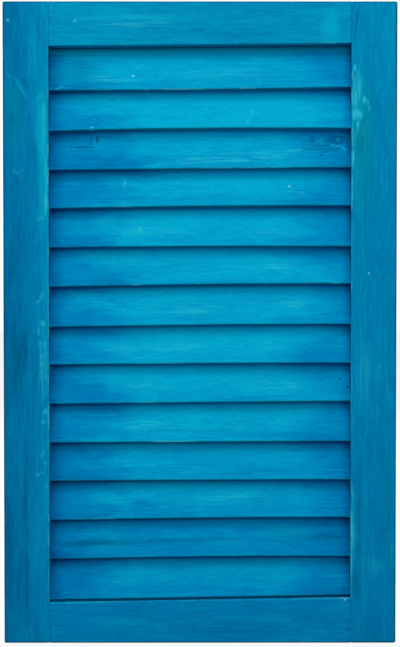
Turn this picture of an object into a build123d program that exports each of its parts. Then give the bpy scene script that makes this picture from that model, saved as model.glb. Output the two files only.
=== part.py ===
from build123d import *
import os
from math import asin, atan2, cos, degrees, hypot, radians, sin

# A fixed-louvre wooden window shutter leaf, in millimetres.
# +Z is up, the front of the leaf faces -Y, and the origin is at the middle of the bottom edge.
# Two stiles and two rails make the frame, with the rails' tenons in blind mortises in the stiles.
# The slats stand between the stiles, let into slanting housings that stop short of both faces,
# with their lower edges at the front so that they throw off rain.

# Frame boards
leaf_width = 490.0
leaf_height = 800.0
board_thickness = 32.0
stile_width = 57.0
top_rail_height = 53.3
bottom_rail_height = 55.6
arris_round = 2.0
corner_round = 3.0
opening_ease = 0.8

# The leaf was trimmed square after it was put together, so the opening and its slats
# climb a little from left to right, and the rails taper.
opening_rise = 4.0

# Louvre slats
slat_width = 54.0
slat_thickness = 8.0
slat_round = 2.0
slat_setback = 3.2
slat_pitch_wanted = 48.8
slat_gap_below = 0.5
slat_gap_above = 3.4

# Housings in the stiles
housing_depth = 10.0
housing_clearance = 0.15
slat_end_clearance = 0.8

# Corner joints
tenon_length = 40.0
tenon_thickness = 11.0
tenon_shoulder = 9.0
tenon_clearance = 0.1
tenon_end_clearance = 1.5

# Sizes that follow from the ones above
opening_width = leaf_width - 2 * stile_width
opening_height = leaf_height - top_rail_height - bottom_rail_height
inner_x = opening_width / 2
rise_angle = degrees(atan2(opening_rise, opening_width))
slat_length = opening_width + 2 * (housing_depth - slat_end_clearance)

# Each slat leans just enough for its edges to lie `slat_setback` inside the two faces.
flat_width = slat_width - 2 * slat_round
flat_thickness = slat_thickness - 2 * slat_round
flat_depth = board_thickness - 2 * slat_setback - 2 * slat_round
lean = asin(flat_depth / hypot(flat_width, flat_thickness)) - atan2(flat_thickness, flat_width)
slat_lean = degrees(lean)
slat_reach = flat_width * cos(lean) + flat_thickness * sin(lean) + 2 * slat_round
stack_travel = opening_height - slat_gap_below - slat_gap_above - slat_reach
slat_count = max(2, round(stack_travel / slat_pitch_wanted) + 1)
slat_pitch = stack_travel / (slat_count - 1)
lowest_slat_z = bottom_rail_height + slat_gap_below + slat_reach / 2

LEFT, RIGHT = -1, 1
FRONT, BACK = -1, 1


def opening_edge_z(middle_z, x):
    """Height at x of a line that passes through middle_z and climbs with the opening."""
    return middle_z + x * opening_rise / opening_width


def slat_place(number):
    """Where slat `number` is centred, counted from 1 at the top."""
    z = lowest_slat_z + (slat_count - number) * slat_pitch
    return Location((0, 0, z)) * Rotation(0, -rise_angle, 0)


def slat_bar(length, grow=0.0):
    """A bar along X of the slat's leaning, round-edged section, made bigger all round by `grow`."""
    section = RectangleRounded(
        slat_thickness + 2 * grow,
        slat_width + 2 * grow,
        slat_round + grow,
    )
    upright = Plane.YZ * Rotation(0, 0, -slat_lean) * section
    return extrude(upright, amount=length / 2, both=True)


def make_slat(number):
    return slat_place(number) * slat_bar(slat_length)


def housing_cutter(number, side):
    """The slanting housing that one stile has for the end of one slat."""
    cutter_length = 2 * housing_depth
    bar = slat_bar(cutter_length, grow=housing_clearance)
    centre_x = side * (inner_x + housing_depth - cutter_length / 2)
    return slat_place(number) * Pos(centre_x, 0, 0) * bar


def opening_outline(grow=0.0):
    """The frame's opening as a flat four-cornered face in XZ, made bigger all round by `grow`."""
    x = inner_x + grow
    low = bottom_rail_height - grow
    high = bottom_rail_height + opening_height + grow
    corners = [
        (-x, opening_edge_z(low, -x)),
        (x, opening_edge_z(low, x)),
        (x, opening_edge_z(high, x)),
        (-x, opening_edge_z(high, -x)),
    ]
    return make_face(Plane.XZ * Polyline(*corners, close=True))


def opening_easing():
    """The slivers that sandpaper took off the arrises round the opening, front and back."""
    slivers = []
    for side in (FRONT, BACK):
        face_y = side * board_thickness / 2
        at_face = Pos(0, face_y, 0) * opening_outline(opening_ease)
        inside = Pos(0, face_y - side * opening_ease, 0) * opening_outline()
        slivers.append(loft([at_face, inside]))
    return slivers


def round_over(board, on_rim):
    """Rounds a board's front and back arrises where `on_rim` says that they lie on the leaf's rim."""
    face_y = board_thickness / 2
    rim = [
        edge
        for edge in board.edges()
        if abs(abs(edge.center().Y) - face_y) < 1e-3 and on_rim(edge.center())
    ]
    return fillet(rim, arris_round)


def rail_span(side, at_top):
    """Lowest and highest point of a rail where it meets the stile on that side."""
    x = side * inner_x
    if at_top:
        return opening_edge_z(leaf_height - top_rail_height, x), leaf_height
    return 0.0, opening_edge_z(bottom_rail_height, x)


def tenon_core(side, at_top, clearance=0.0, end_clearance=0.0):
    """A flat bar from the middle of a rail to its tenon's end, or to the end of the mortise for it."""
    low, high = rail_span(side, at_top)
    length = inner_x + tenon_length + end_clearance
    thickness = tenon_thickness + 2 * clearance
    height = high - low - 2 * tenon_shoulder + 2 * clearance
    return Pos(side * length / 2, 0, (low + high) / 2) * Box(length, thickness, height)


def mortise_cutter(side, at_top):
    return tenon_core(side, at_top, tenon_clearance, tenon_end_clearance)


def make_stile(side):
    """A full-height upright with a housing for each slat and a mortise for each rail."""
    outer_x = side * leaf_width / 2
    board = Pos(side * (inner_x + stile_width / 2), 0, leaf_height / 2) * Box(
        stile_width, board_thickness, leaf_height
    )
    ends = [
        edge
        for edge in board.edges().filter_by(Axis.Y)
        if abs(edge.center().X - outer_x) < 1e-3
    ]
    board = fillet(ends, corner_round)
    past_inner_face = inner_x + 1e-3
    board = round_over(board, lambda point: abs(point.X) > past_inner_face)
    cutters = [housing_cutter(number, side) for number in range(1, slat_count + 1)]
    cutters += [mortise_cutter(side, at_top) for at_top in (True, False)]
    return board - cutters - opening_easing()


def make_rail(at_top):
    """A cross board between the stiles, tenoned at both ends, whose inner edge follows the opening."""
    rim_z = leaf_height if at_top else 0.0
    inner_z = leaf_height - top_rail_height if at_top else bottom_rail_height
    corners = [
        (-inner_x, rim_z),
        (inner_x, rim_z),
        (inner_x, opening_edge_z(inner_z, inner_x)),
        (-inner_x, opening_edge_z(inner_z, -inner_x)),
    ]
    face = make_face(Plane.XZ * Polyline(*corners, close=True))
    board = extrude(face, amount=board_thickness / 2, both=True)
    board = round_over(board, lambda point: abs(point.Z - rim_z) < 1e-3)
    board -= opening_easing()
    return board + [tenon_core(side, at_top) for side in (LEFT, RIGHT)]


def build_nodes():
    """Every separate piece of the leaf, by its name."""
    nodes = {
        "stile_left": make_stile(LEFT),
        "stile_right": make_stile(RIGHT),
        "rail_top": make_rail(at_top=True),
        "rail_bottom": make_rail(at_top=False),
    }
    for number in range(1, slat_count + 1):
        nodes[f"slat_{number:02d}"] = make_slat(number)
    return nodes


os.makedirs("parts", exist_ok=True)
for name, shape in build_nodes().items():
    export_step(shape, f"parts/{name}.step")
print("slats", slat_count, "pitch", round(slat_pitch, 3), "lean", round(slat_lean, 3))
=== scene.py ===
# %% [markdown]
# # A louvred shutter leaf in thin blue paint
# The real object is one leaf of a pair of window shutters: two upright stiles, a top and a bottom
# rail let into them, and fourteen fixed slats that lean in slanting housings. The sizes come from
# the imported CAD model, which is loaded first and is never moved.

# %% Load the frame
import math

import bmesh
import bpy
from mathutils import Euler, Matrix, Vector, noise


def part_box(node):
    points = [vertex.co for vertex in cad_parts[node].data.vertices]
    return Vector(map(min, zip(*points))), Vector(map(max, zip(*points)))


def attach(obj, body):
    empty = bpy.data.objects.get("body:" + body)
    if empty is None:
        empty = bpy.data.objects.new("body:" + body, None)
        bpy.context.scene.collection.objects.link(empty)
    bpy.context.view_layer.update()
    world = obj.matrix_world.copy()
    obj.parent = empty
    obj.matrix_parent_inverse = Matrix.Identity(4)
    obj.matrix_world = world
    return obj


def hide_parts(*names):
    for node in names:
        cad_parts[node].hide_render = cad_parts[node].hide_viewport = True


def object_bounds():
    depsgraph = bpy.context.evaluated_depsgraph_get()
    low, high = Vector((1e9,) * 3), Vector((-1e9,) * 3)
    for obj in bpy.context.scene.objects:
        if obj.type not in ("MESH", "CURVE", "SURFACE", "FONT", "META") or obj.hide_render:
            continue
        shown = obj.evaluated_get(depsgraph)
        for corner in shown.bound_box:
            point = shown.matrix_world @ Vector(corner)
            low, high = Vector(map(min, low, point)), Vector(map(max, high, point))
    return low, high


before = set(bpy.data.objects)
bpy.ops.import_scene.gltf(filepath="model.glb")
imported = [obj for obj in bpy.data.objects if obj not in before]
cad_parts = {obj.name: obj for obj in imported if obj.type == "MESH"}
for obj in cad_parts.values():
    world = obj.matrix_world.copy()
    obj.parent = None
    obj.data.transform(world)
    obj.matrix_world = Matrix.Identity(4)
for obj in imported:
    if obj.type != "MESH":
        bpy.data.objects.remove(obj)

cad_low, cad_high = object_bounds()
print("leaf in metres", [round(v, 4) for v in cad_high - cad_low])

# %% [markdown]
# ## Camera
# The photograph looks almost straight at the leaf, from a little above its middle. A camera close
# by would make the stiles run together towards the top, so a long lens two metres away keeps the
# edges nearly parallel, as they are there.

# %% Camera
MM = 0.001
camera_distance = 2.0
camera_lens = 88.62
camera_rise = math.radians(1.56)
camera_turn = math.radians(-0.1)
look_at = Vector((0, 0, 0.4))
back = Vector((math.sin(camera_turn) * math.cos(camera_rise),
               -math.cos(camera_turn) * math.cos(camera_rise),
               math.sin(camera_rise)))
camera = bpy.data.objects.new("camera", bpy.data.cameras.new("camera"))
bpy.context.scene.collection.objects.link(camera)
camera.data.lens = camera_lens
camera.location = look_at + back * camera_distance
camera.rotation_euler = (-back).to_track_quat("-Z", "Y").to_euler()
bpy.context.scene.camera = camera
bpy.context.scene.view_settings.view_transform = "Standard"
print("camera at", [round(v, 3) for v in camera.location])

# %% [markdown]
# ## Soft light from above
# Each slat throws a soft shadow on the one below. A sun lamp would give that shadow a hard rim, so
# the light comes from a wide panel high in front. A second panel in front lifts the faces of the
# boards, and a third one lights the back.

# %% Lights
def soft_panel(name, place, towards, width, height, watts):
    """A rectangular lamp at a place, turned to a point."""
    lamp = bpy.data.lights.new(name, "AREA")
    lamp.shape = "RECTANGLE"
    lamp.size = width
    lamp.size_y = height
    lamp.energy = watts
    made = bpy.data.objects.new(name, lamp)
    made.location = place
    made.rotation_euler = (Vector(towards) - Vector(place)).to_track_quat("-Z", "Y").to_euler()
    bpy.context.scene.collection.objects.link(made)


soft_panel("high_panel", (-0.5, -2.4, 2.9), (0, 0, 0.5), 2.4, 1.6, 46)
soft_panel("front_panel", (0.3, -3.2, 1.5), (0, 0, 0.5), 2.4, 1.6, 34)
soft_panel("back_panel", (0.6, 2.6, 2.2), (0, 0, 0.4), 1.8, 1.2, 75)
print(len(bpy.data.lights), "soft panels")

# %% [markdown]
# ## Shader expressions
# A paint is a sum of many masks. Wiring each Math node by hand would hide what it is for, so one
# small class wraps a node's output, and masks are written as plain Python: `1 - wear * 0.5` adds
# its Math nodes by itself.

# %% Shader class
class Wire:
    """One output socket of a material, which works in Python expressions."""

    def __init__(self, tree, socket=None):
        self.tree = tree
        self.socket = socket

    def add(self, kind, settings=None, inputs=None, out=0):
        """A new node of a type, its settings, then values or wires for its sockets."""
        made = self.tree.nodes.new("ShaderNode" + kind)
        for name, value in (settings or {}).items():
            setattr(made, name, value)
        result = Wire(self.tree, made.outputs[out])
        for index, value in (inputs or {}).items():
            result.feed(index, value)
        return result

    def feed(self, index, value):
        """Gives a socket of the node behind this wire its value or its link."""
        socket = self.socket.node.inputs[index]
        if isinstance(value, Wire):
            self.tree.links.new(value.socket, socket)
        else:
            socket.default_value = value

    def math(self, operation, *values):
        return self.add("Math", {"operation": operation}, dict(enumerate(values)))

    def vector(self, operation, other):
        """This vector added to, multiplied by or lessened by another one."""
        return self.add("VectorMath", {"operation": operation}, {0: self, 1: other})

    def __add__(self, other):
        return self.math("ADD", self, other)

    __radd__ = __add__

    def __sub__(self, other):
        return self.math("SUBTRACT", self, other)

    def __rsub__(self, other):
        return self.math("SUBTRACT", other, self)

    def __mul__(self, other):
        return self.math("MULTIPLY", self, other)

    __rmul__ = __mul__

    def fade(self, start, end):
        """0 at start and 1 at end, smoothly."""
        return self.add("MapRange", {"interpolation_type": "SMOOTHSTEP"},
                        {"Value": self, "From Min": start, "From Max": end})

    def tint(self, other, share):
        """This colour mixed with another one by a share from 0 to 1."""
        return self.add("Mix", {"data_type": "RGBA"}, {6: self, 7: other, 0: share}, 2)


def rgb(red, green, blue):
    """A colour as a paint card gives it, 0 to 255, in the linear values that Blender mixes."""
    return tuple((v / 255 / 12.92) if v < 10.3 else ((v / 255 + 0.055) / 1.055) ** 2.4
                 for v in (red, green, blue)) + (1.0,)


print("shader class ready")

# %% [markdown]
# ## White background
# The leaf is shown in front of plain white. White light from all round would flood the undersides
# of the slats, so only the camera, and what is mirrored in or seen through something, meets white.
# The boards themselves stand in a dim room.

# %% World
room_strength = 0.42


def sees_white(start):
    """1 for a ray of the camera and for what is mirrored in or seen through something, else 0."""
    path = start.add("LightPath")
    share = path
    for name in ("Is Glossy Ray", "Is Transmission Ray"):
        share = path.math("MAXIMUM", share, Wire(path.tree, path.socket.node.outputs[name]))
    return share


world = bpy.data.worlds.new("studio")
bpy.context.scene.world = world
world.use_nodes = True
world.node_tree.nodes.clear()
sky = Wire(world.node_tree)
white = sky.add("Background", None, {"Color": (1, 1, 1, 1), "Strength": 1.0})
dim = sky.add("Background", None, {"Color": (0.9, 0.96, 1, 1), "Strength": room_strength})
both = sky.add("MixShader", None, {0: sees_white(sky), 1: dim, 2: white})
sky.tree.links.new(both.socket, sky.tree.nodes.new("ShaderNodeOutputWorld").inputs["Surface"])
print("room strength", room_strength)

# %% [markdown]
# ## Pale floor
# A pale floor throws light back up under the slats. A white one would throw too much, so it shows
# as nearly white to the camera and acts as a mid grey for the light. It keeps the leaf's shadow.

# %% Floor
floor_reach = 12
floor_paint = bpy.data.materials.new("pale_floor")
floor_paint.use_nodes = True
floor_paint.node_tree.nodes.clear()
ground = Wire(floor_paint.node_tree)
white_floor = ground.add("BsdfDiffuse", None, {"Color": (0.95, 0.95, 0.95, 1)})
grey_floor = ground.add("BsdfDiffuse", None, {"Color": (0.22, 0.22, 0.22, 1)})
glow = ground.add("Emission", None, {"Color": (1, 1, 1, 1), "Strength": 1.0})
bright = ground.add("MixShader", None, {0: 0.85, 1: white_floor, 2: glow})
surface = ground.add("MixShader", None, {0: sees_white(ground), 1: grey_floor, 2: bright})
output = ground.tree.nodes.new("ShaderNodeOutputMaterial")
ground.tree.links.new(surface.socket, output.inputs["Surface"])

bm = bmesh.new()
bmesh.ops.create_grid(bm, x_segments=1, y_segments=1, size=floor_reach)
floor_mesh = bpy.data.meshes.new("floor")
bm.to_mesh(floor_mesh)
bm.free()
floor = bpy.data.objects.new("floor", floor_mesh)
floor.data.materials.append(floor_paint)
bpy.context.scene.collection.objects.link(floor)
print("floor", 2 * floor_reach, "m wide")

# %% [markdown]
# ## Sizes of the boards
# The CAD part gives each board's box. The slats lean back at the top by 20.9 degrees, and the whole
# opening climbs 4 mm to the right, because this leaf was put together a little out of square.

# %% Board sizes
stile_width = 57.0 * MM
board_thickness = 32.0 * MM
leaf_width = cad_high.x - cad_low.x
leaf_height = cad_high.z - cad_low.z
opening_width = leaf_width - 2 * stile_width
opening_rise = 4.0 * MM
rise_angle = math.atan2(opening_rise, opening_width)
slat_width = 54.0 * MM
slat_thickness = 8.0 * MM
slat_lean = math.radians(20.933)
slat_names = sorted(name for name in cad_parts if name.startswith("slat_"))
slat_length = (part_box("slat_01")[1].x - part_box("slat_01")[0].x) / math.cos(rise_angle)
print(len(slat_names), "slats,", round(slat_length / MM, 1), "mm long")

# %% [markdown]
# ## A planed board
# A real board is sawn and planed square, and its arrises are rounded by hand. A Bevel modifier
# would round all its edges alike, so a cube is beveled in bmesh, where the edges that face the
# opening can be rounded less. Cuts along and across then give it enough faces to be worn.

# %% Board maker
nearly_all = 0.9


def lengthwise(bm, axis, shortest):
    """The edges that run along one axis and are longer than a length."""
    found = []
    for edge in bm.edges:
        run = edge.verts[1].co - edge.verts[0].co
        if run.length > shortest and abs(run[axis]) > 0.999 * run.length:
            found.append(edge)
    return found


def planed_board(length, thickness, width, arris, step, opening_side=0, square_ends=False,
                 opening_arris=0.8 * MM):
    """A board with x along the grain, y through it and z across it. Where opening_side is 1 or -1,
    the two long edges on that side of z face the opening and are rounded less. A board that butts
    against another has square ends, with no rounding at all."""
    bm = bmesh.new()
    bmesh.ops.create_cube(bm, size=1)
    bmesh.ops.scale(bm, vec=(length, thickness, width), verts=bm.verts)
    long_edges = lengthwise(bm, 0, length * nearly_all)
    inner = [edge for edge in long_edges if edge.verts[0].co.z * opening_side > 0]
    rounded = long_edges if square_ends else bm.edges
    outer = [edge for edge in rounded if edge not in inner]
    bmesh.ops.bevel(bm, geom=outer, offset=arris, segments=3, affect="EDGES",
                    profile=0.5, material=-1)
    if inner:
        sharp = [edge for edge in bm.edges if edge.calc_face_angle() > 1]
        if square_ends:
            long_edges = lengthwise(bm, 0, length * nearly_all)
            sharp = [edge for edge in sharp if edge in long_edges]
        bmesh.ops.bevel(bm, geom=sharp, offset=opening_arris, segments=2, affect="EDGES",
                        profile=0.5, material=-1)
    for axis in (0, 2, 1):
        runs = lengthwise(bm, axis, 1.6 * step)
        if runs:
            cuts = max(1, round(max(edge.calc_length() for edge in runs) / step) - 1)
            bmesh.ops.subdivide_edges(bm, edges=runs, cuts=cuts, use_grid_fill=True)
    return bm


print("board maker ready")

# %% [markdown]
# ## Wear
# Years of weather and a thick brush leave a board a little uneven, with small nicks along its
# arrises. A Displace modifier would move its flat faces as much as its arrises, so the points are
# moved here, where their normals tell which of them lie on an arris.

# %% Wear
hollow_pattern = (14, 60, 45)
nick_pattern = (60, 30, 60)
chip_pattern = (190, 90, 190)


def lumps(point, scale, seed):
    """Smooth uneven heights from -1 to 1 that repeat for the same seed."""
    return noise.noise(Vector((point.x * scale[0] + seed, point.y * scale[1], point.z * scale[2])))


def wear_board(bm, length, seed, keep_ends=0.0, hollow=0.10 * MM, nick=0.7 * MM):
    """Pushes the points in a little: broad hollows on the faces, and nicks along the arrises. What
    lies within keep_ends of either end stays as it is."""
    bm.normal_update()
    moves = []
    for vert in bm.verts:
        point = vert.co
        if keep_ends and length / 2 - abs(point.x) < keep_ends:
            continue
        inward = hollow * (0.5 + 0.5 * lumps(point, hollow_pattern, seed))
        side = abs(vert.normal.y)
        end = abs(vert.normal.x)
        if 0.2 < max(side, end) < 0.98:
            bite = max(0.0, lumps(point, nick_pattern, seed + 31) - 0.18)
            small = max(0.0, lumps(point, chip_pattern, seed + 57) - 0.25)
            inward += nick * (bite * 1.2 + small * 0.8)
        moves.append((vert, vert.normal * -inward))
    for vert, move in moves:
        vert.co += move


print("wear ready")

# %% [markdown]
# ## Beads of paint, dents and a knot
# Thick paint dries in small beads, a knock leaves a dent, and a knot stands a little proud of the
# wood round it. Bump in the material alone would vanish at the edge of a shadow, so they are raised
# or sunk in the mesh, which gets more faces only where they lie.

# %% Relief
def on_face(place, x, z, thickness):
    """The point of a board's front face that lies at x and z in mm on the leaf, in its own frame."""
    into = place.inverted()
    start = into @ Vector((x * MM, 0, z * MM))
    step = into.to_3x3() @ Vector((0, 1, 0))
    return start + step * ((-thickness / 2 - start.y) / step.y)


def face_points(bm, first, second, reach):
    """The points of the front face within reach of the line between two points, with how near they
    are: 1 on the line and 0 at reach."""
    found = []
    line = second - first
    for vert in bm.verts:
        if vert.normal.y > -0.4:
            continue
        along = max(0.0, min(1.0, (vert.co - first).dot(line) / max(line.length_squared, 1e-12)))
        away = vert.co - (first + line * along)
        away.y = 0
        if away.length < reach:
            found.append((vert, 1 - away.length / reach))
    return found


def ridge(bm, first, second, reach, height):
    """Raises a soft bead of thick paint along a line, or sinks a dent where height is negative."""
    near = {vert for vert, nearness in face_points(bm, first, second, reach * 1.3)}
    edges = [edge for edge in bm.edges if edge.verts[0] in near and edge.verts[1] in near]
    bmesh.ops.subdivide_edges(bm, edges=edges, cuts=2, use_grid_fill=True)
    bm.normal_update()
    for vert, nearness in face_points(bm, first, second, reach):
        vert.co.y -= height * nearness * nearness * (3 - 2 * nearness)


def knot(bm, centre, reach, rings, height):
    """Raises the rings of a knot round a point of the front face."""
    for vert, nearness in face_points(bm, centre, centre + Vector((1e-5, 0, 0)), reach):
        away = vert.co - centre
        uneven = 0.12 * lumps(vert.co, (90, 90, 90), 3.0)
        turn = math.hypot(away.x * 0.62, away.z * 1.25) / reach + uneven
        vert.co.y -= height * math.cos(turn * rings * 2 * math.pi) * nearness


print("relief ready")

# %% [markdown]
# ## From board to piece
# A board is made lying at the origin and is then turned into its place in the leaf. Its object
# stays at the origin, so the place is in its mesh, as it is in the CAD model's pieces.

# %% Finish a board
pieces = {}
places = {}
widths = {}


def finish_board(bm, look, node):
    """Turns a board into place and makes it the piece that stands for a CAD node."""
    bmesh.ops.transform(bm, matrix=places[node], verts=bm.verts)
    bmesh.ops.recalc_face_normals(bm, faces=bm.faces)
    mesh = bpy.data.meshes.new(look + node)
    bm.to_mesh(mesh)
    bm.free()
    mesh.shade_smooth()
    piece = bpy.data.objects.new(look + node, mesh)
    bpy.context.scene.collection.objects.link(piece)
    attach(piece, "root")
    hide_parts(node)
    pieces[node] = piece


print("board finisher ready")

# %% [markdown]
# ## How the slats differ
# Slats planed by hand are never quite equally wide, and they bow. Each one could be turned as a
# whole, but then light would show between two of them. So only its lower edge has a shift, a bow
# and a tilt, and its upper edge stays where it is, hidden behind the slat above.

# %% Slat edges
slat_edges = {1: (-1.1, -1.1, 0.1), 2: (-3.3, 2.0, -0.3), 3: (-2.7, 0.1, -0.2),
              4: (-1.5, 1.3, -0.1), 5: (-2.3, 0.9, -1.4), 6: (-0.9, 1.0, 0.3),
              7: (-2.6, 0.9, -0.1), 8: (-1.5, 0.7, -0.9), 9: (-0.9, 0.1, -0.2),
              10: (-1.4, 0.0, -1.1), 11: (-0.6, 0.2, -1.2), 12: (-0.2, 1.2, 0.0),
              13: (-0.5, 1.5, -0.1), 14: (-1.2, -0.1, 1.1)}
top_slat_extra = 3.3 * MM


def trim_lower_edge(bm, shift, bow, tilt):
    """Moves a slat's points in its own plane, by these mm at its lower edge and not at its upper."""
    for vert in bm.verts:
        share = vert.co.x / (slat_length / 2)
        lower = 0.5 - vert.co.z / slat_width
        vert.co.z += (shift + bow * (1 - share * share) + tilt * share) * lower * MM


largest_shift = max(abs(shift) for shift, bow, tilt in slat_edges.values())
print("lower edges shift by up to", largest_shift, "mm")

# %% [markdown]
# ## Small relief on the slats
# Five slats have something that stands out or is sunk: a knock, the rim of an old mend, drips and
# thick brush ends. Each one is a line from one place to another in mm on the leaf, with its half
# width and its height, both in mm.

# %% Slat relief
slat_relief = {
    2: [(-133, 646, -138, 644, 3.5, -0.9)],
    3: [(-148, 620, -128, 619, 2.0, -0.3), (-128, 622, -128, 634, 2.0, -0.3),
        (-40, 607, 40, 613, 2.6, 0.22), (0, 603, 70, 607, 2.4, 0.18)],
    4: [(-94, 572, -92, 580, 2.2, 0.5)],
    5: [(-75, 523, -78, 506, 2.2, 0.7), (-74, 523, -68, 506, 2.2, 0.7),
        (-130, 527.5, -98, 528, 2.0, 0.25)],
    12: [(30, 180, 33, 190, 3.2, 0.25), (47, 180, 51, 190, 3.2, 0.25),
         (64, 179, 68, 190, 3.2, 0.25), (84, 180, 87, 190, 3.2, 0.25),
         (104, 181, 106, 190, 3.2, 0.22)],
}
knot_slat = 3
knot_place = (163, 621)
knot_reach = 24 * MM
knot_rings = 5
knot_height = 0.16 * MM
print(sum(len(lines) for lines in slat_relief.values()), "beads and dents, and one knot")

# %% [markdown]
# ## The slats
# Each slat is a thin board that leans back at the top, with its ends stopped in the stiles. They
# could be one slat repeated by an Array modifier, but then all would have the same wear, so each
# is made by itself. The top one reaches a little higher, behind the rail.

# %% Slats
slat_arris = 1.9 * MM
slat_step = 2.2 * MM
housed_end = 9.5 * MM
slat_turn = Euler((-slat_lean, -rise_angle, 0))
for number, name in enumerate(slat_names, 1):
    low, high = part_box(name)
    places[name] = Matrix.Translation((low + high) / 2) @ slat_turn.to_matrix().to_4x4()
    widths[name] = slat_width
    extra = top_slat_extra if number == 1 else 0
    bm = planed_board(slat_length, slat_thickness, slat_width + extra, slat_arris, slat_step)
    bmesh.ops.translate(bm, vec=(0, 0, extra / 2), verts=bm.verts)
    wear_board(bm, slat_length, seed=number * 7.3, keep_ends=housed_end)
    for x, z, x_end, z_end, reach, height in slat_relief.get(number, ()):
        first = on_face(places[name], x, z, slat_thickness)
        second = on_face(places[name], x_end, z_end, slat_thickness)
        ridge(bm, first, second, reach * MM, height * MM)
    if number == knot_slat:
        centre = on_face(places[name], *knot_place, slat_thickness)
        knot(bm, centre, knot_reach, knot_rings, knot_height)
    trim_lower_edge(bm, *slat_edges[number])
    finish_board(bm, "louvre_", name)
print(len(pieces), "slats,", sum(len(p.data.polygons) for p in pieces.values()), "faces")

# %% [markdown]
# ## Rails
# The rails fit between the stiles, so their ends are square and the joints show as upright lines.
# On the real leaf their edges to the opening climb to the right with the slats. A turned rail would
# not lie flush with the leaf's edge, so only the points near the opening move, more the nearer they
# are. Two small moves, in mm and in mm over the whole width, fit each edge to the real one.

# %% Rails
outer_arris = 2.0 * MM
board_step = 2.5 * MM
joint_overlap = 0.02 * MM
edge_moves = {"rail_top": (-0.2 * MM, -0.5 * MM), "rail_bottom": (-1.2 * MM, 2.2 * MM)}
for name, side in (("rail_top", -1), ("rail_bottom", 1)):
    low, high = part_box(name)
    widths[name] = high.z - low.z - opening_rise / 2
    centre_z = high.z - widths[name] / 2 if name == "rail_top" else low.z + widths[name] / 2
    places[name] = Matrix.Translation((0, 0, centre_z))
    length = opening_width + joint_overlap
    bm = planed_board(length, board_thickness, widths[name], outer_arris, board_step, side, True)
    wear_board(bm, length, seed=101 + side, keep_ends=0.5 * MM)
    base, climb = edge_moves[name]
    for vert in bm.verts:
        share = (vert.co.z * side / widths[name]) + 0.5
        along = vert.co.x / opening_width
        vert.co.z += share * (opening_rise * along + base + climb * along)
    finish_board(bm, "painted_", name)
print("rails", [round(widths[name] / MM, 1) for name in edge_moves], "mm high")

# %% [markdown]
# ## Stiles
# The stiles run the full height of the leaf, so their top and bottom ends are rounded like their
# outer edges. Housings for the slats could be cut out with a Boolean, but nothing of them shows
# once the slats are in, so the stiles stay solid and the slats run into them.

# %% Stiles
upright = Euler((0, math.radians(-90), 0)).to_matrix().to_4x4()
for name, side in (("stile_left", -1), ("stile_right", 1)):
    low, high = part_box(name)
    centre = Vector(((low.x + high.x) / 2, 0, (low.z + high.z) / 2))
    places[name] = Matrix.Translation(centre) @ upright
    widths[name] = stile_width
    bm = planed_board(leaf_height, board_thickness, stile_width, outer_arris, board_step, side)
    wear_board(bm, leaf_height, seed=203 + side * 9)
    finish_board(bm, "painted_", name)
print(len(pieces), "boards")

# %% [markdown]
# ## Shades of the paint
# The paint is a thin, brushed coat in one blue, which runs from deep blue to cyan with how thick it
# lies. One colour with a little noise would look like plastic, so each kind of board has a run of
# four blues, and marks have shades of their own: dark grain, chalky specks, and the pale places
# where an arris is rubbed thin.

# %% Colours
frame_blues = (rgb(1, 56, 100), rgb(1, 98, 153), rgb(1, 134, 185), rgb(2, 174, 211))
slat_blues = (rgb(1, 56, 104), rgb(0, 97, 158), rgb(0, 135, 191), rgb(2, 176, 213))
blue = rgb(0, 128, 192)
# cyan also paints light on the top slat, just under the top rail
cyan = rgb(2, 176, 212)
# navy also paints shade: on the slats' undersides, on the band the slat above overhangs, and inside
# the opening
navy = rgb(0, 42, 84)
# ink also paints the dark outer arrises and ends of the frame, partly as shade
ink = rgb(0, 62, 96)
green = rgb(2, 112, 138)
teal = rgb(2, 146, 166)
chalk = rgb(44, 196, 216)
spark = rgb(130, 232, 240)
bare = rgb(50, 168, 194)
pale = rgb(24, 168, 198)
print(len(frame_blues) + len(slat_blues), "blues for the boards")

# %% [markdown]
# ## What years have left on the frame
# Each board has its own marks: brush laps, drips, specks of lighter paint and dark grain. A painted
# image could hold them, but it would need a picture, so each mark is a soft oval. It is given by
# its shade, its strength, the place of its middle in mm from the middle and the foot of the leaf,
# its two half sizes in mm, its tilt in degrees and how soft its rim is.

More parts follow.
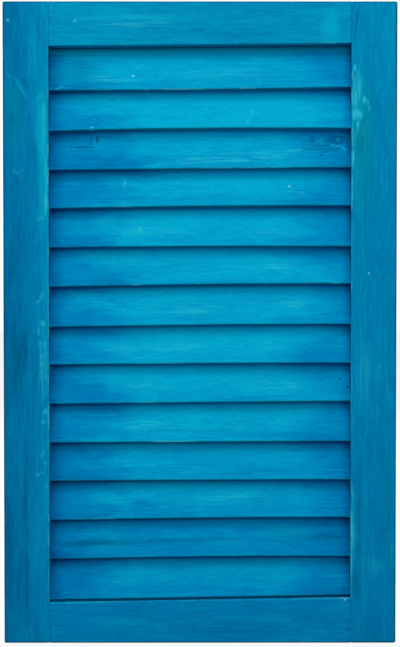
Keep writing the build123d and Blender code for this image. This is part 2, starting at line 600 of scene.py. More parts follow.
# %% Marks on the frame
paint_marks = {
    "rail_top": [
        (cyan, 0.85, 162.0, 770.0, 15.0, 27.0, 0, 0.8),
        (pale, 0.25, 154.1, 766.0, 6.0, 24.0, 0, 0.8),
        (cyan, 0.4, -61.7, 779.8, 74.8, 6.2),
        (chalk, 0.2, -130.4, 778.6, 32.4, 2.7),
        (chalk, 0.15, -111.6, 771.1, 37.4, 2.4),
        (spark, 0.5, -155.3, 776.1, 2.1, 2.1, 0, 0.7),
        (cyan, 0.45, -109.1, 784.8, 29.9, 14.97),
        (cyan, 0.25, -149.1, 782.3, 37.4, 11.23),
        (ink, 0.14, 38, 759.9, 74.8, 3.0),
        (ink, 0.14, -61.7, 753.7, 87.3, 2.5),
    ],
    "rail_bottom": [
        (ink, 0.15, 63, 13.9, 99.8, 2.5),
        (ink, 0.15, -99.2, 38.9, 62.4, 2.2, 1),
        (blue, 0.35, -120, 30, 80, 26, 0, 0.9),
        (navy, 0.6, 184.6, 16.4, 2, 2),
        (spark, 0.8, 181.5, 54.4, 2.6, 1.6, 0, 0.7),
        (cyan, 0.25, -111.6, 26.4, 49.9, 9.98),
    ],
    "stile_right": [
        (teal, 0.7, 203.0, 625.2, 140.0, 22.0, 90, 0.9),
        (teal, 0.3, 197.7, 490.4, 74.8, 11.2, 90, 0.8),
        (chalk, 0.9, 192.2, 718.1, 2.2, 5.7),
        (chalk, 0.6, 191.2, 692.5, 20.0, 1.4, 90),
        (chalk, 0.85, 197.7, 686.3, 16.2, 1.4, 90),
        (chalk, 0.6, 194.2, 682.5, 8.7, 1.2, 90),
        (chalk, 0.6, 201.5, 681.3, 10.0, 1.2, 90),
        (chalk, 0.9, 204.4, 678.2, 2.0, 6.2),
        (chalk, 0.6, 193.0, 675.1, 2.5, 3.7),
        (chalk, 0.5, 208.3, 675.1, 1.7, 5.0),
        (chalk, 0.5, 210.2, 667.6, 1.5, 6.2),
        (chalk, 1.0, 195.2, 661.3, 7.5, 6.2, 0, 0.5),
        (chalk, 0.8, 192.2, 656.4, 2.7, 4.5),
        (chalk, 0.8, 199.5, 657.6, 2.7, 4.5),
        (chalk, 0.8, 195.5, 647.6, 2.5, 5.0),
        (ink, 0.45, 196.0, 677.6, 16.2, 1.2, 90),
        (ink, 0.4, 200.2, 682.5, 11.2, 1.1, 90),
        (green, 0.36, 207.7, 621.4, 17.5, 1.4, 84),
        (green, 0.39, 200.2, 623.9, 17.5, 1.5, 78),
        (pale, 0.6, 193.3, 625.2, 15.0, 1.4, 80),
        (green, 0.33, 192.5, 645.1, 10.0, 1.6, 95),
        (ink, 0.35, 202.7, 650.1, 10.0, 1.7, 70),
        (green, 0.45, 205.2, 565.3, 20.0, 1.7, 93),
        (pale, 0.4, 195.2, 580.3, 15.0, 1.5, 86),
        (chalk, 0.9, 189.5, 632.7, 17.5, 1.4, 90),
        (chalk, 1.0, 190.5, 605.2, 15.0, 1.7, 90),
        (chalk, 0.85, 189.2, 567.8, 27.4, 1.4, 90),
        (chalk, 0.5, 189.7, 707.5, 12.5, 1.5, 90),
        (ink, 0.5, 194, 773, 28.7, 1.9, 82, 0.8),
        (cyan, 0.25, 197.1, 681.3, 54.9, 8.73, 90),
        (chalk, 0.35, 200.2, 697.5, 15, 1.5, 84),
        (green, 0.40, 196.5, 631.4, 20, 2.25, 75),
        (green, 0.35, 202.1, 617.7, 17.5, 1.75, 100),
        (green, 0.35, 205.8, 521.6, 44.9, 1.87, 90),
        (pale, 0.5, 200.2, 334.5, 32.4, 1, 88),
        (pale, 0.4, 207.1, 338.3, 29.9, 0.87, 89),
        (pale, 0.4, 210.8, 313.3, 22.5, 1, 85),
        (pale, 0.5, 233.9, 322.1, 44.9, 1.12, -83.5),
        (pale, 0.35, 218.9, 97.5, 16.2, 12.47),
        (spark, 0.6, 210.2, 463, 1.8, 1.8, 0, 0.7),
        (pale, 0.5, 240.1, 116.2, 13.7, 1, 90),
        (ink, 0.3, 199.0, 153.7, 87.3, 4.0, 90, 0.9),
        (chalk, 0.45, 190.6, 140, 68, 2.6, 90, 0.9),
        (chalk, 0.9, 191.2, 141, 28, 3.4, 90, 0.9),
        (chalk, 0.5, 190.4, 188, 16, 2.4, 90, 0.9),
        (teal, 0.5, 193.5, 142, 40, 5.5, 90, 0.9),
        (blue, 0.4, 222, 70, 100, 26, 90, 0.9),
        (ink, 0.4, 197, 76, 30, 7, 90, 0.9),
        (ink, 0.35, 207, 92, 16, 4.5, 90, 0.9),
        (ink, 0.25, 200, 118, 18, 6, 90, 0.9),
        (cyan, 0.2, 231.4, 752.4, 43.7, 7.48, 90),
    ],
    "stile_left": [
        (teal, 0.35, -231.4, 665.1, 74.8, 15.0, 90, 0.8),
        (teal, 0.5, -196.5, 652.6, 74.8, 10.0, 90, 0.8),
        (ink, 0.3, -228.9, 340.8, 74.8, 13.7, 90, 0.8),
        (ink, 0.35, -217.7, 378.2, 32.4, 5.0, 90, 0.8),
        (cyan, 0.55, -222.0, 692.5, 22.0, 3.6, -60, 0.8),
        (ink, 0.2, -217.0, 699.0, 11.0, 3.4, -60, 0.8),
        (cyan, 0.7, -200.8, 681.3, 12.5, 2.7, 59, 0.8),
        (cyan, 0.5, -198.3, 642.6, 39.9, 9.4, 90),
        (ink, 0.22, -212.0, 621.4, 34.0, 7.0, 90, 0.9),
        (pale, 0.7, -237.6, 707.5, 2.5, 2.5, 0, 0.6),
        (pale, 0.6, -221.4, 591.5, 2.7, 2.0, -30),
        (pale, 0.55, -226.4, 587.7, 3.7, 2.0, 40),
        (pale, 0.5, -230.8, 590.2, 2.0, 3.7),
        (ink, 0.18, -236.0, 652.6, 8.0, 14.0, 0, 0.9),
        (chalk, 0.85, -191.1, 575.3, 47.4, 2.0, 90),
        (chalk, 0.8, -191.7, 549.1, 16.2, 3.0, 90),
        (chalk, 0.4, -194.0, 665.1, 15.0, 3.7, 90),
        (chalk, 0.41, -197.1, 435.6, 7.5, 3.2, 70),
        (chalk, 0.34, -201.5, 428.1, 5.0, 2.5, 40),
        (chalk, 0.41, -195.2, 400.6, 4.0, 5.5),
        (chalk, 0.34, -201.5, 390.7, 7.5, 2.7, 100),
        (chalk, 0.41, -193.3, 374.4, 3.5, 6.2),
        (chalk, 0.41, -196.5, 350.7, 3.7, 4.5),
        (chalk, 0.37, -192.7, 334.5, 3.0, 5.6),
        (chalk, 0.44, -191.5, 290.9, 2.7, 6.2),
        (chalk, 0.41, -195.2, 278.4, 3.2, 4.2),
        (chalk, 0.37, -195.8, 238.5, 3.0, 6.2),
        (chalk, 0.41, -193.3, 226.0, 3.7, 3.0, -30),
        (chalk, 0.41, -203.3, 211.0, 3.7, 3.7),
        (chalk, 0.34, -191.5, 197.3, 2.2, 5.0),
        (cyan, 0.6, -195.8, 602.7, 114.8, 7.48, 90),
        (chalk, 0.25, -194, 640.1, 49.9, 2.74, 90),
        (chalk, 0.5, -191.1, 546.6, 26.2, 1.12, 90),
        (ink, 0.16, -226, 692.0, 20, 2.6, -62, 0.8),
        (pale, 0.5, -199, 680.7, 11.2, 1.25, 62),
        (pale, 0.4, -225.8, 589, 5.6, 1.62, 20),
        (pale, 0.35, -223.9, 582.8, 4.4, 1.25, -30),
        (chalk, 0.4, -197.7, 530.4, 5.6, 2.74, 20),
        (chalk, 0.31, -195.2, 400.6, 3.7, 4.37),
        (chalk, 0.27, -199, 375.7, 4.4, 3.12, 30),
        (chalk, 0.31, -196.5, 359.5, 3.7, 3.74),
        (chalk, 0.24, -197.7, 333.3, 3.1, 9.98, 10),
        (chalk, 0.27, -195.2, 289.6, 3.1, 4.99),
        (chalk, 0.24, -197.7, 234.7, 3.7, 3.74),
        (chalk, 0.24, -196.5, 213.5, 4.4, 2.49),
        (ink, 0.3, -217.7, 357, 32, 4.6, 90, 0.8),
        (ink, 0.38, -217.5, 200, 100, 3.8, 90, 0.9),
        (ink, 0.42, -216.5, 78.8, 84, 4.6, 90, 0.9),
        (ink, 0.3, -237.5, 103.8, 110, 7, 90, 0.9),
        (blue, 0.3, -203, 90, 110, 16, 90, 0.9),
        (spark, 0.4, -237.3, 776.1, 2.3, 2.3, 0, 0.7),
    ],
}
print(sum(len(marks) for marks in paint_marks.values()), "marks on the frame")

# %% [markdown]
# ## What years have left on the slats
# The slats have thin places where the brush turned, a few specks, an old mend, a knot with its
# swirl and a drip. They are written in the same way.

# %% Marks on the slats
paint_marks.update({
    "slat_01": [
        (spark, 1.0, -83.0, 708.7, 1.8, 1.8, 0, 0.7),
        (chalk, 0.22, -116.6, 702.5, 17.0, 2.6),
        (chalk, 0.25, -134.1, 700.0, 7.5, 2.0),
        (chalk, 0.2, -96.7, 705.0, 10.0, 2.0),
        (chalk, 0.5, -176.5, 692.5, 5.0, 1.7, 30),
        (pale, 0.5, -171.5, 694.4, 7.5, 1.7, -20),
        (cyan, 0.3, -161.5, 702.5, 22.5, 6.24, 6),
        (teal, 0.4, -158.0, 714.0, 52.0, 24.0, 0, 0.9),
    ],
    "slat_02": [
        (blue, 0.35, -141.6, 655.1, 42.4, 11.2, 4, 0.9),
        (chalk, 0.7, -131.6, 655.1, 3.2, 1.4),
        (chalk, 0.7, -134.7, 645.1, 4.0, 1.5),
        (pale, 0.9, -134.1, 641.4, 4.0, 1.6),
        (pale, 0.45, -134.1, 650.1, 6.2, 1.2),
        (pale, 0.5, -107.9, 681.3, 5.0, 1.5, 50),
        (chalk, 0.55, 65.5, 663.8, 6.9, 1.6, 72),
        (chalk, 0.45, 59.9, 651.4, 6.2, 1.6, 70),
        (chalk, 0.35, 64.9, 663.8, 6.2, 1.12, 70),
        (chalk, 0.3, 59.3, 652.6, 5, 1.12, 75),
        (ink, 0.4, -109.1, 680.1, 3.7, 1.25),
        (ink, 0.4, -130.4, 655.1, 3.7, 1.25, 20),
    ],
    "slat_03": [
        (pale, 0.55, 151.6, 627.7, 6.2, 6.9, 0, 0.9),
        (navy, 0.45, 171.5, 630.2, 17.5, 7.5, -6),
        (ink, 0.35, 140.3, 631.4, 6.2, 5.0),
        (pale, 0.7, 169.0, 623.3, 10.0, 1.9, -6),
        (cyan, 0.8, 179.6, 618.9, 6.2, 2.7, -28),
        (pale, 0.6, 144.1, 626.4, 6.2, 1.5, 40),
        (pale, 0.8, 172.8, 630.8, 3.2, 2.4, 0, 0.7),
        (ink, 0.45, 185.2, 621.4, 3.0, 15.0),
        (ink, 0.6, 151.6, 610.2, 2.2, 2.0, 0, 0.6),
        (pale, 0.5, 156.5, 594.9, 29.9, 1.2),
        (ink, 0.45, -136.0, 628.9, 10.0, 2.4, 90),
        (ink, 0.55, -127.9, 630.2, 5.6, 2.7, 90),
        (ink, 0.4, -149.1, 620.8, 15.0, 2.2),
        (ink, 0.35, -119.1, 633.9, 12.5, 1.7),
        (chalk, 0.45, 116.6, 616.4, 17.5, 2.2, 1),
        (chalk, 0.4, 44.3, 602.7, 27.4, 1.6, 1),
        (chalk, 0.4, 78.0, 612.7, 22.5, 1.6, 2),
        (ink, 0.5, -144.1, 620.2, 15, 0.87),
        (ink, 0.4, -157.2, 628.9, 7.5, 0.75, 90),
        (ink, 0.5, -129.1, 630.2, 8.7, 1.5, 90),
        (chalk, 0.22, 6.9, 606.5, 47.4, 1.12, 1),
        (chalk, 0.25, 56.8, 613.9, 62.4, 1.25, 2.5),
        (chalk, 0.22, 0.6, 600.2, 49.9, 1),
        (chalk, 0.18, 87.9, 605.2, 42.4, 1, 4),
        (chalk, 0.22, -16.8, 615.2, 17.5, 1.12, 3),
    ],
    "slat_04": [
        (blue, 0.5, 169.0, 571.5, 24.9, 11.2, 0, 0.9),
        (blue, 0.5, -151.6, 557.8, 42.4, 11.2, 8, 0.9),
        (chalk, 0.8, -94.2, 575.3, 6.2, 1.5, 78),
        (spark, 0.95, 111.6, 571.5, 2.0, 2.0, 0, 0.7),
        (chalk, 0.7, -94.2, 576.5, 4.5, 1, 72),
        (chalk, 0.8, 111.6, 571.5, 1.5, 1.5),
        (cyan, 0.3, 56.8, 577.8, 62.4, 6.24),
    ],
    "slat_05": [
        (blue, 0.6, 121.6, 502.9, 59.9, 7.5, 0, 0.9),
        (blue, 0.5, 171.5, 530.4, 20.0, 11.2, 0, 0.9),
        (blue, 0.3, -142.8, 505.4, 47.4, 8.7, 3, 0.9),
        (cyan, 0.25, -150.0, 520.0, 40.0, 16.0, 0, 0.9),
        (pale, 0.5, -115.4, 527.9, 17.5, 1),
        (chalk, 1.0, -76.3, 516.4, 6.4, 1.5, 76),
        (chalk, 1.0, -72.8, 516.4, 6.4, 1.5, -70),
        (cyan, 0.35, 119.1, 520.4, 32.4, 6.24, -15),
    ],
    "slat_06": [
        (blue, 0.5, 165.3, 481.7, 29.9, 7.5, -14, 0.9),
        (blue, 0.55, 19.3, 450.5, 112.3, 5.6, 1, 0.9),
        (blue, 0.35, -151.6, 470.5, 39.9, 17.5, 0, 0.9),
        (cyan, 0.25, -138.0, 462.0, 44.0, 14.0, 0, 0.9),
        (navy, 0.6, -165.9, 488, 4, 1),
        (cyan, 0.35, 125.4, 465.5, 34.9, 4.99, -12),
    ],
    "slat_07": [
        (blue, 0.6, 125.4, 404.4, 62.4, 7.5, 0, 0.9),
        (blue, 0.5, -124.1, 405.6, 59.9, 7.5, 2, 0.9),
    ],
    "slat_08": [
        (blue, 0.65, -130.4, 363.2, 64.9, 12.5, -16, 0.9),
        (blue, 0.5, 150.3, 359.5, 44.9, 8.7, 0, 0.9),
        (cyan, 0.3, -111.6, 370.7, 37.4, 6.24, -6),
    ],
    "slat_09": [
        (blue, 0.6, -117.9, 310.8, 74.8, 8.7, -4, 0.9),
        (blue, 0.5, 63.0, 307.1, 74.8, 5.6, 0, 0.9),
        (navy, 0.75, 175.9, 330.8, 1.7, 1.75),
        (navy, 0.75, 184.6, 320.8, 1.7, 1.75),
    ],
    "slat_10": [
        (blue, 0.6, -136.6, 264.7, 69.9, 8.7, -4, 0.9),
        (blue, 0.55, 75.5, 260.9, 87.3, 6.2, 0, 0.9),
        (ink, 0.3, 0.6, 265.9, 87.3, 1.25),
    ],
    "slat_11": [
        (blue, 0.5, -130.4, 214.8, 62.4, 7.5, 0, 0.9),
        (blue, 0.45, 87.9, 216.0, 74.8, 6.2, 0, 0.9),
    ],
    "slat_12": [
        (blue, 0.5, -136.6, 168.6, 62.4, 8.7, 0, 0.9),
        (blue, 0.5, 100.4, 166.1, 62.4, 7.5, 0, 0.9),
        (pale, 0.3, 29.3, 183.6, 7.5, 1, 80),
        (pale, 0.3, 45.5, 183.6, 8.7, 1, 78),
        (pale, 0.28, 63, 182.3, 8.7, 1, 80),
        (pale, 0.28, 83, 183.6, 8.7, 1, 76),
        (pale, 0.25, 102.9, 184.8, 7.5, 1, 80),
    ],
    "slat_13": [
        (blue, 0.5, -172, 128, 26, 30, 0, 0.9),
        (ink, 0.55, -135, 124.5, 70, 6.5, 1, 0.9),
        (ink, 0.35, -20, 127.5, 100, 5.5, 0, 0.9),
        (ink, 0.45, 158, 131.5, 44, 6, 0, 0.9),
        (teal, 0.35, 110, 140, 60, 12, 0, 0.9),
    ],
    "slat_14": [
        (blue, 0.6, -170, 82, 34, 34, 0, 0.9),
        (blue, 0.55, -24.3, 67.6, 137.2, 10.0, 0, 0.9),
        (cyan, 0.25, -74.2, 86.3, 24.9, 4.99),
    ],
})
print(sum(len(marks) for marks in paint_marks.values()), "marks in all")

# %% [markdown]
# ## Worn arrises
# Hands and weather rub an arris sooner than a face. Noise alone would wear all of them alike, so
# the places where this leaf is worn most are written down too. They are ovals that only count where
# they cross an arris.

# %% Worn arrises
worn_arrises = {
    "rail_top": [
        (chalk, 1.0, 159.0, 748.7, 12.7, 5),
        (pale, 0.7, -96.0, 747.4, 19.6, 5),
    ],
    "rail_bottom": [
        (pale, 0.7, -142.8, 52.6, 37.7, 5),
        (pale, 0.7, 147.2, 55.1, 38.3, 5),
        (bare, 1.0, 179.0, 55.1, 7.7, 5),
        (bare, 0.8, -125.4, 53.9, 6.5, 5),
    ],
    "stile_right": [
        (bare, 1, 188.4, 708.7, 6.5, 5, 90),
        (chalk, 0.9, 188.4, 673.8, 27.7, 5, 90),
        (bare, 1, 188.4, 637.6, 11.5, 5, 90),
        (bare, 1, 188.4, 603.3, 15.9, 5, 90),
        (bare, 0.9, 188.4, 577.8, 9.0, 5, 90),
        (bare, 0.9, 188.4, 548.5, 9.6, 5, 90),
        (pale, 0.8, 188.4, 506.0, 32.1, 5, 90),
        (bare, 0.9, 188.4, 448.0, 7.7, 5, 90),
        (pale, 0.7, 188.4, 334.5, 60.1, 5, 90),
        (bare, 1, 188.4, 131.8, 9.6, 5, 90),
        (chalk, 0.7, 188.4, 134.9, 72.6, 5, 90),
    ],
    "stile_left": [
        (bare, 0.9, -188.4, 685.7, 7.1, 5, 90),
        (bare, 1, -188.4, 617.7, 10.2, 5, 90),
        (bare, 1, -188.4, 584.6, 13.4, 5, 90),
        (bare, 1, -188.4, 555.3, 16.5, 5, 90),
        (bare, 0.8, -188.4, 491.7, 7.7, 5, 90),
        (pale, 0.8, -188.4, 415.6, 53.9, 5, 90),
        (bare, 0.7, -188.4, 329.5, 7.7, 5, 90),
        (chalk, 0.7, -188.4, 278.4, 28.9, 5, 90),
        (bare, 0.9, -188.4, 158.0, 7.1, 5, 90),
        (bare, 0.9, -188.4, 127.5, 9.0, 5, 90),
    ],
    "slat_01": [
        (bare, 1.0, -21.8, 692.5, 36.4, 5),
        (bare, 0.9, 58.6, 693.8, 13.4, 5),
        (bare, 0.9, -75.5, 692.5, 19.0, 5),
    ],
    "slat_04": [
        (bare, 0.7, -92.9, 544.1, 16.5, 5),
    ],
    "slat_06": [
        (bare, 0.9, -80.5, 446.8, 9.0, 5),
        (chalk, 0.8, 174.6, 449.3, 15.9, 5),
    ],
    "slat_09": [
        (bare, 1.0, -64.2, 300.8, 10.2, 5),
        (pale, 0.8, -67.4, 300.8, 17.1, 5),
    ],
    "slat_10": [
        (bare, 1.0, -44.3, 252.2, 19.0, 5),
        (chalk, 0.8, -33.7, 252.2, 38.3, 5),
    ],
    "slat_03": [
        (chalk, 0.5, 63.0, 592.7, 78.8, 5),
    ],
    "slat_08": [
        (chalk, 0.4, -49.3, 349.5, 53.9, 5),
    ],
    "slat_12": [
        (chalk, 0.5, -111.6, 154.9, 53.9, 5),
    ],
}
print(sum(len(marks) for marks in worn_arrises.values()), "worn places")

# %% [markdown]
# ## Streaky patches
# Where the paint is thin, the lines of the grain show through in groups. These ovals are masked by
# fine lines, so they read as grain and not as a blot.

# %% Streaky patches
streaky_patches = {
    "stile_right": [
        (chalk, 0.85, 196, 678, 44, 7.5, 90),
        (chalk, 0.55, 199, 640, 14, 9, 70),
        (green, 0.6, 199, 628, 26, 8, 80),
        (pale, 0.5, 205, 335, 46, 10, 88),
        (pale, 0.35, 215, 95, 20, 16, 90),
    ],
    "stile_left": [
        (chalk, 0.35, -194, 620, 60, 6, 90),
        (chalk, 0.30, -196, 350, 80, 7, 90),
        (ink, 0.22, -225, 400, 90, 12, 90),
        (ink, 0.16, -220, 120, 120, 14, 90),
    ],
    "rail_top": [
        (chalk, 0.30, -75, 776, 60, 12),
        (ink, 0.14, 40, 762, 110, 9),
    ],
    "rail_bottom": [
        (ink, 0.14, 40, 20, 150, 12),
    ],
    "slat_01": [
        (chalk, 0.45, -105, 706, 42, 7),
        (chalk, 0.20, 20, 712, 90, 10),
    ],
    "slat_03": [
        (chalk, 0.50, 40, 606, 85, 6.5, 2),
        (ink, 0.35, 150, 622, 40, 12),
    ],
    "slat_05": [
        (chalk, 0.35, 87.9, 516.6, 27.4, 6.2),
        (chalk, 0.20, -60, 515, 60, 10),
    ],
    "slat_07": [
        (chalk, 0.35, 115.4, 424.3, 24.9, 7.5),
        (chalk, 0.30, -20, 418, 70, 9),
    ],
    "slat_08": [
        (chalk, 0.35, -99.2, 369.5, 27.4, 7.5),
        (chalk, 0.25, -30, 370, 60, 8),
    ],
    "slat_09": [
        (chalk, 0.3, -86.7, 324.5, 37.4, 6.2),
        (chalk, 0.25, 90, 322, 60, 9),
    ],
    "slat_04": [
        (chalk, 0.4, 116.6, 564.0, 20.0, 6.2),
    ],
    "slat_06": [
        (chalk, 0.45, 97.9, 471.7, 24.9, 5.0),
    ],
    "slat_10": [
        (chalk, 0.35, -68.0, 273.4, 37.4, 7.5),
    ],
    "slat_12": [
        (chalk, 0.30, 40, 182, 60, 8),
    ],
    "slat_13": [
        (ink, 0.2, -100, 126, 90, 7),
        (ink, 0.18, 120, 130, 80, 7),
    ],
}
print(sum(len(marks) for marks in streaky_patches.values()), "streaky patches")

# %% [markdown]
# ## Patterns of wood and brush
# A photograph of wood could be laid over the boards, but noise needs no picture and never repeats.
# Each pattern is one noise, stretched along the grain: clouds and blotches where the paint lies
# thicker, brush strokes, fibres and flecks. Each board shifts them by its seed.

# %% Wood patterns
# How often a pattern changes in a metre along, through and across the board, then its detail, its
# roughness and its distortion
wood_patterns = {
    "clouds": ((8, 30, 30), 3, 0.55, 0.7),
    "blotches": ((34, 60, 75), 3, 0.6, 0.4),
    "brush": ((12, 190, 210), 4, 0.6, 0.3),
    "fibre": ((55, 520, 520), 3, 0.65, 0.0),
    "fleck": ((150, 900, 900), 2, 0.6, 0.0),
    "streaks": ((16, 380, 420), 4, 0.65, 0.3),
    "lines": ((26, 330, 360), 2, 0.5, 0.0),
    "dust": ((170, 460, 460), 2, 0.7, 0.0),
    "rubbed": ((60, 260, 260), 3, 0.7, 0.0),
    "worn_through": ((34, 90, 90), 3, 0.7, 0.0),
}
print(len(wood_patterns), "patterns")

# %% [markdown]
# ## One coat for each board
# The grain has to follow its own board, and the slats lean, so a coat first turns the object's
# coordinates into the board's: along the grain, through the board and across it. The front is a
# mask that keeps the marks off the back.

# %% Coat
class Coat:
    """The wires that all masks of one board's paint share."""

    def __init__(self, name, seed):
        place = places[name]
        self.name = name
        self.material = bpy.data.materials.new("thin_blue_" + name)
        self.material.use_nodes = True
        self.material.node_tree.nodes.clear()
        self.start = Wire(self.material.node_tree)
        self.point = self.start.add("TexCoord", None, None, "Object")
        board = self.start.add("Mapping", {"vector_type": "TEXTURE"},
                               {"Vector": self.point, "Location": place.translation,
                                "Rotation": place.to_euler()})
        parts = board.add("SeparateXYZ", None, {0: board}).socket.node.outputs
        self.along, self.depth, self.across = (Wire(board.tree, part) for part in parts)
        self.front = self.depth.fade(0.0, -1 * MM)
        moved = board.vector("ADD", (seed * 0.37, seed * 0.11, seed * 0.23))
        for pattern, (stretch, detail, rough, warp) in wood_patterns.items():
            stretched = moved.vector("MULTIPLY", stretch)
            look = {"Vector": stretched, "Scale": 1.0, "Detail": detail,
                    "Roughness": rough, "Distortion": warp}
            setattr(self, pattern, stretched.add("TexNoise", None, look))


print("coat ready")

# %% [markdown]
# ## Tone
# Every point of a board has one number, its tone: 0 for deep blue and 1 for cyan. Each mask only
# adds to it, which keeps the shades in one family however many masks there are.

# %% Tone
tone_strengths = {"brush": 0.30, "clouds": 0.40, "blotches": 0.20, "fibre": 0.50, "fleck": 0.34}


def board_tone(coat, tone):
    """The tone of a board, with its brush strokes, its fibres and its thin lines."""
    value = coat.streaks.fade(0.54, 0.68) * 0.15 - coat.streaks.fade(0.44, 0.30) * 0.10 + tone
    for pattern, strength in tone_strengths.items():
        value = value + (getattr(coat, pattern) - 0.5) * strength
    return value


def tone_colour(coat, value, blues):
    """The colour for a tone, through a run of four blues."""
    colour = coat.start.add("Mix", {"data_type": "RGBA"}, {6: blues[0], 7: blues[1]}, 2)
    colour.feed(0, value.fade(-0.55, 0.0))
    for shade, low in zip(blues[2:], (0.0, 0.5)):
        share = value.add("MapRange", None, {"Value": value, "From Min": low, "From Max": low + 0.5})
        colour = colour.tint(shade, share)
    return colour


print("tone from", ", ".join(tone_strengths))

# %% [markdown]
# ## Laying the marks on
# A perfect oval would look printed. So the places are shaken by a little noise before an oval is
# measured there, and its strength follows the flecks of the wood. Only marks shorter than a few
# millimetres stay crisp, since shaking would break them up.

# %% Lay on the marks
crisp_below = 2.3
shake_often = 70
shake_far = 5 * MM


def mark(point, x, z, long, wide, tilt=0, soft=0.6):
    """A soft oval on the leaf, 1 in its middle and 0 outside."""
    turned = point.add("Mapping", {"vector_type": "TEXTURE"},
                       {"Vector": point, "Location": (x * MM, 0, z * MM),
                        "Rotation": (0, -math.radians(tilt), 0),
                        "Scale": (long * MM, 10, wide * MM)})
    distance = turned.add("VectorMath", {"operation": "LENGTH"}, {0: turned}, 1)
    return distance.fade(1.0, 1.0 - soft)


def with_marks(coat, colour, value):
    """A board's colour with its dust, its streaky patches and its marks."""
    often = coat.point.vector("MULTIPLY", (shake_often, shake_often, shake_often))
    shake = often.add("TexNoise", None, {"Vector": often, "Scale": 1.0, "Detail": 2.0}, 1)
    shake = shake.vector("SUBTRACT", (0.5, 0.5, 0.5))
    shake = shake.vector("MULTIPLY", (shake_far, shake_far, shake_far))
    shaken = coat.point.vector("ADD", shake)
    patchy = 0.65 + coat.fleck.fade(0.36, 0.62) * 0.35
    lines = coat.lines.fade(0.46, 0.56)
    dust = coat.dust.fade(0.58, 0.68) * value.fade(0.55, 0.95)
    colour = colour.tint(chalk, dust * coat.front * 0.30)
    for shade, strength, *shape in streaky_patches.get(coat.name, ()):
        colour = colour.tint(shade, mark(shaken, *shape) * coat.front * lines * strength)
    for shade, strength, *shape in paint_marks.get(coat.name, ()):
        if shape[2] < crisp_below:
            share = mark(coat.point, *shape) * coat.front
        else:
            share = mark(shaken, *shape) * coat.front * patchy
        colour = colour.tint(shade, share * strength)
    return colour


print("marks ready")

# %% [markdown]
# ## Edges
# Paint is thin and pale on an arris. The dark in the corner behind it is painted shade. Pointiness
# could find the arrises, but it needs the final mesh, so they are found by how far a point is from
# the middle of its board. An edge that climbs or bows is given by its height, its slope and its
# bend.

# %% Edge masks
def near_edge(distance, half, start=2.6 * MM, full=0.7 * MM):
    """0 inside a board and 1 at its edge, for a distance from its middle."""
    return distance.fade(half - start, half - full)


def edge_masks(coat, thickness, opening_side, edge_curve):
    """How far a point lies towards the opening, and the masks of both faces and of the arrises."""
    base, climb, bend = edge_curve
    curve = coat.along * climb + coat.along * coat.along * bend + base
    opening = (coat.across - curve) * opening_side
    side = opening.math("MAXIMUM", opening, coat.across * -opening_side)
    face = near_edge(coat.depth.math("ABSOLUTE", coat.depth), thickness / 2)
    return opening, face, near_edge(side, widths[coat.name] / 2) * face


def with_worn_places(coat, colour, arris):
    """A board's colour with the places where this leaf is worn most."""
    through = coat.worn_through.fade(0.36, 0.50)
    for shade, strength, *shape in worn_arrises.get(coat.name, ()):
        worn = mark(coat.point, *shape) * arris * coat.front * through
        colour = colour.tint(shade, worn * strength)
    return colour


def finish_coat(coat, colour):
    """The paint itself: matt, with a fine relief of brush strokes and fibres."""
    relief = coat.brush * 0.4 + coat.fibre * 0.5 + coat.fleck * 0.3
    bump = coat.start.add("Bump", None, {"Strength": 0.35, "Distance": 0.6 * MM, "Height": relief})
    shader = coat.start.add("BsdfPrincipled", None,
                            {"Base Color": colour, "Roughness": coat.brush * 0.3 + 0.42,
                             "Normal": bump, "Specular IOR Level": 0.0})
    output = coat.start.tree.nodes.new("ShaderNodeOutputMaterial")
    coat.start.tree.links.new(shader.socket, output.inputs["Surface"])
    pieces[coat.name].data.materials.append(coat.material)


print("edges ready")

# %% [markdown]
# ## Paint on the slats
# Every slat is brightest in the middle and deeper blue at both ends, where the brush was turned
# between the stiles and the paint lies thicker. Right beside the stiles the slats get painted shade
# as well. One tone for all would look sprayed, so each slat has its own tone, the two places in mm
# where its bright middle ends, and how much they slant.

# %% Slat paint
slat_tones = {1: (0.80, -142, 136, 0.8), 2: (0.98, -120, 150, 1.0), 3: (0.82, -98, 128, 0.8),
              4: (0.90, -84, 138, -1.5), 5: (0.90, -110, 128, 0.6), 6: (0.90, -128, 130, 2.2),
              7: (0.90, -128, 140, 0.8), 8: (0.92, -114, 134, -1.2), 9: (0.87, -138, 136, 1.5),
              10: (0.89, -112, 134, -1.0), 11: (0.76, -110, 138, 0.8), 12: (0.77, -110, 136, 0.8),
              13: (0.57, -165, 144, 0.5), 14: (0.68, -118, 144, -0.8)}


def slat_ends_and_painted_shade(coat, low_end, high_end, slant):
    """How much deeper a slat is towards its ends and near its lower edge, and the painted shade
    beside the stiles.
    """
    drift = coat.along + (coat.clouds - 0.5) * 0.10 + (coat.blotches - 0.5) * 0.05
    drift = drift + coat.across * slant
    ends = drift.fade((low_end + 42) * MM, (low_end - 48) * MM)
    ends = ends + drift.fade((high_end - 36) * MM, (high_end + 42) * MM)
    # painted shade where the stiles shade the slats' ends, deeper on the left
    left = coat.along.fade(-164 * MM, -189 * MM)
    right = coat.along.fade(174 * MM, 189 * MM)
    low = coat.across.fade(-4 * MM, -24 * MM)
    return ends * 0.36 + left * 0.40 + right * 0.28 + low * 0.10


def slat_edges_and_painted_shade(coat, colour, opening, arris, painted_top_shading):
    """Pale rubbed arrises, painted shade on the underside, and a painted tint on the band that the
    slat above overhangs: shade on most slats and light on the top one.
    """
    half = slat_width / 2
    colour = colour.tint(pale, arris * coat.rubbed.fade(0.36, 0.60) * 0.45)
    colour = colour.tint(bare, arris * coat.worn_through.fade(0.62, 0.70) * 0.6)
    # painted shade: navy on the down-facing lower edge of the slat, where little light reaches
    colour = colour.tint(navy, near_edge(opening, half, 1.4 * MM, 0.5 * MM) * 0.5)
    # painted shade on the top band that the slat above overhangs; on the top slat, painted cyan
    # light just under the rail
    return colour.tint(painted_top_shading, near_edge(coat.across, half, 8 * MM, 3 * MM) * 0.5)


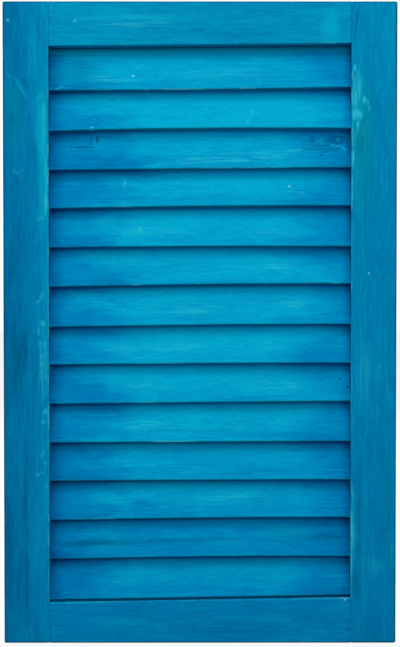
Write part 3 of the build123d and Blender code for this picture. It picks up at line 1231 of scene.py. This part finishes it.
half_length = slat_length / 2
for number, name in enumerate(slat_names, 1):
    tone, low_end, high_end, slant = slat_tones[number]
    shift, bow, tilt = slat_edges[number]
    curve = ((shift + bow) * MM, tilt * MM / half_length, -bow * MM / half_length ** 2)
    coat = Coat(name, number * 1.7)
    value = board_tone(coat, tone) - slat_ends_and_painted_shade(coat, low_end, high_end, slant)
    colour = with_marks(coat, tone_colour(coat, value, slat_blues), value)
    opening, face, arris = edge_masks(coat, slat_thickness, -1, curve)
    # the top slat gets painted light under the rail, the others painted shade under the slat above
    colour = slat_edges_and_painted_shade(coat, colour, opening, arris, cyan if number == 1 else navy)
    finish_coat(coat, with_worn_places(coat, colour, arris))
print(len(bpy.data.materials), "materials")

# %% [markdown]
# ## Paint on the frame
# The stiles and rails have the same paint, with their grain upright or level. The left stile is
# deeper blue towards its outer edge, the right one is lighter towards its top, and the bottom rail
# is as blue as the slats. The outer arrises are painted dark, partly as shade where a rounded edge
# turns away from the light, while those round the opening are rubbed. The deep blue on the faces
# inside the opening is painted shade.

# %% Frame paint
rail_line = 345.5 * MM
past_both_ends = 1.0
# For each board its tone, what that gains across and along it, which side the opening is on, and
# how strong the painted shade in deep blue is inside the opening
frame_tones = {
    "rail_top": (0.66, 0.0, 0.0, -1, 0.0),
    "rail_bottom": (0.47, 0.0, 0.0, 1, 0.55),
    "stile_left": (0.39, -0.20, 0.05, -1, 0.55),
    "stile_right": (0.48, 0.0, 0.10, 1, 0.55),
}


def frame_edges_paint(coat, colour, opening, face, arris, opening_side, inside_painted_shade):
    """Dark outer arrises, partly painted shade, rubbed ones round the opening, and painted shade in
    deep blue inside of it.
    """
    half = widths[coat.name] / 2
    reach = rail_line if "stile" in coat.name else past_both_ends
    along = coat.along.math("ABSOLUTE", coat.along)
    outside = coat.across.fade(0.0, 2 * MM * -opening_side)
    beside_rail = along.fade(reach, reach + 1 * MM)
    end = near_edge(along, leaf_height / 2) * face
    # dark outer arrises and ends: darker paint that partly stands for the shade where a rounded edge
    # turns away from the light
    colour = colour.tint(ink, end.math("MAXIMUM", end, arris * outside) * 0.8)
    rubbed = arris * (1 - outside) * (1 - beside_rail) * coat.rubbed.fade(0.40, 0.62)
    colour = colour.tint(pale, rubbed * 0.5)
    # painted shade: deep blue on the faces inside the opening, where the slats shade them
    inside_shade_mask = near_edge(opening, half, 0.8 * MM, 0.2 * MM)
    inside_shade_mask = inside_shade_mask * coat.depth.fade(1.2 * MM - board_thickness / 2, 2.4 * MM - board_thickness / 2)
    colour = colour.tint(navy, inside_shade_mask * (1 - beside_rail) * inside_painted_shade)
    return colour.tint(bare, arris * coat.worn_through.fade(0.62, 0.70) * 0.6)


for index, name in enumerate(frame_tones):
    tone, across_tone, along_tone, opening_side, inside_painted_shade = frame_tones[name]
    base, climb = edge_moves.get(name, (0, -opening_rise))
    curve = (base, (opening_rise + climb) / opening_width, 0)
    coat = Coat(name, 40 + index * 3.1)
    value = board_tone(coat, tone) + coat.along * (along_tone / (leaf_height / 2))
    if across_tone:
        value = value + coat.across * (across_tone / (widths[name] / 2)) + (coat.clouds - 0.5) * 0.2
    blues = slat_blues if name == "rail_bottom" else frame_blues
    colour = with_marks(coat, tone_colour(coat, value, blues), value)
    opening, face, arris = edge_masks(coat, board_thickness, opening_side, curve)
    colour = frame_edges_paint(coat, colour, opening, face, arris, opening_side, inside_painted_shade)
    finish_coat(coat, with_worn_places(coat, colour, arris))
print(len(bpy.data.materials), "materials")
